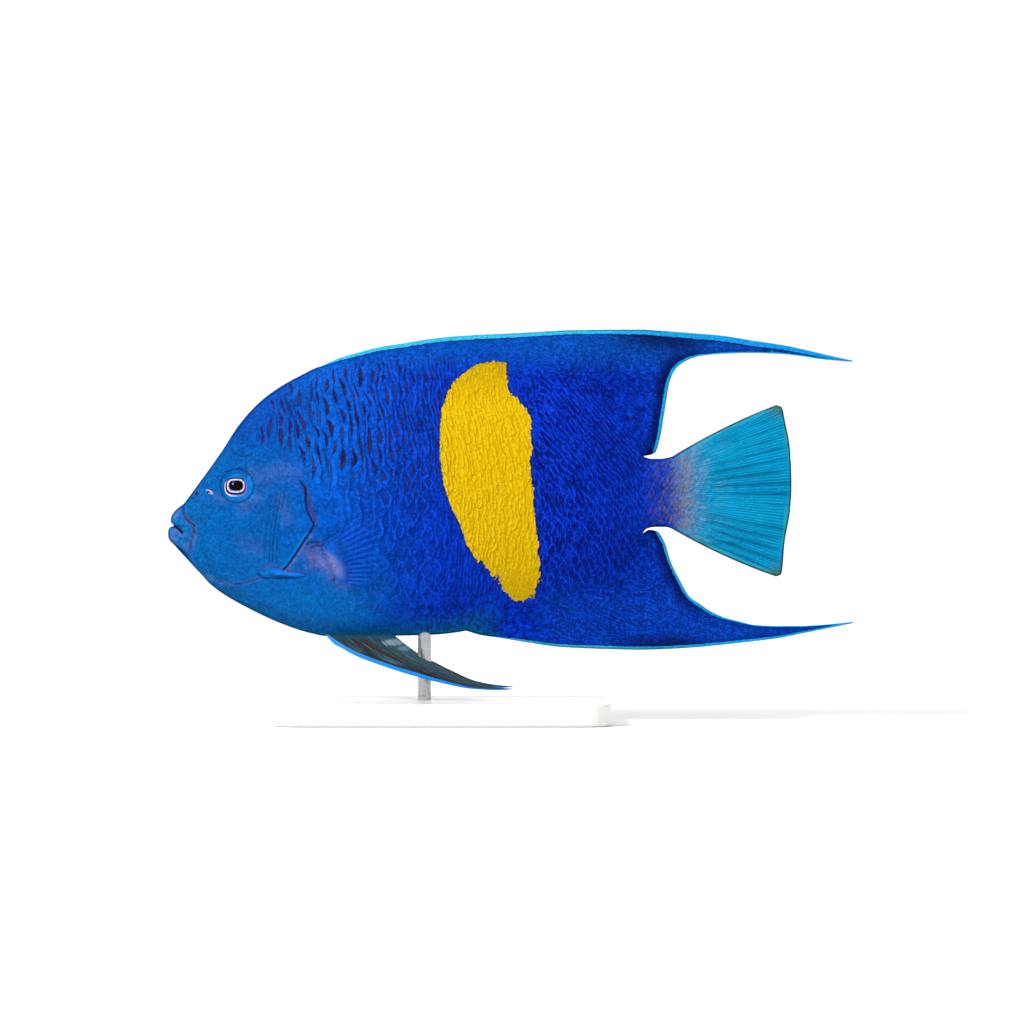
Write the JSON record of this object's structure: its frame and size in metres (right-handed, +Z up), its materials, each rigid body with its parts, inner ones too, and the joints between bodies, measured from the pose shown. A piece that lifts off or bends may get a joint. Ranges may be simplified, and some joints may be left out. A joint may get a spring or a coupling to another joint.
{
  "type": "yellowbar angelfish",
  "caption": "Life-size still model of a yellowbar angelfish with spread fins and long fin streamers, held level on a plain display stand.",
  "frame": {"origin": "middle of the model's box at the level of the floor, under the stand's base", "axes": "+X from the head to the tail, +Y to the fish's right side, +Z up; the head points to -X"},
  "size_m": [0.3622, 0.096, 0.2078],
  "materials": {
    "scaled_skin": "satin royal-blue scaled skin with one yellow bar, cyan fin margins",
    "head_skin": "satin azure skin with fine scales and pinkish tints",
    "lip_skin": "smooth satin blue-grey lips",
    "eye": "glossy black pupil with pinkish-white and dark blue rings",
    "tail_fin": "satin turquoise fin with fine rays",
    "pelvic_fin": "satin dark teal fin with an azure leading edge",
    "pectoral_fin": "clear membrane with blue rays and a lavender root",
    "stand_base": "satin off-white lacquer over fine-grained wood",
    "stand_rod": "finely brushed round rod"
  },
  "bodies": {
    "root": {"head": "head_skin", "upper_lip": "lip_skin", "lower_lip": "lip_skin", "eye_left": "eye", "eye_right": "eye", "gill_cover_left": "head_skin", "gill_cover_right": "head_skin", "trunk": "scaled_skin", "tail_stalk": "scaled_skin", "dorsal_fin_front": "scaled_skin", "dorsal_fin_rear": "scaled_skin", "dorsal_fin_streamer": "scaled_skin", "anal_fin": "scaled_skin", "anal_fin_streamer": "scaled_skin", "tail_fin": "tail_fin", "pelvic_fin_left": "pelvic_fin", "pelvic_fin_right": "pelvic_fin", "pectoral_fin_left": "pectoral_fin", "pectoral_fin_right": "pectoral_fin", "stand_base": "stand_base", "stand_rod": "stand_rod"}
  },
  "joints": []
}
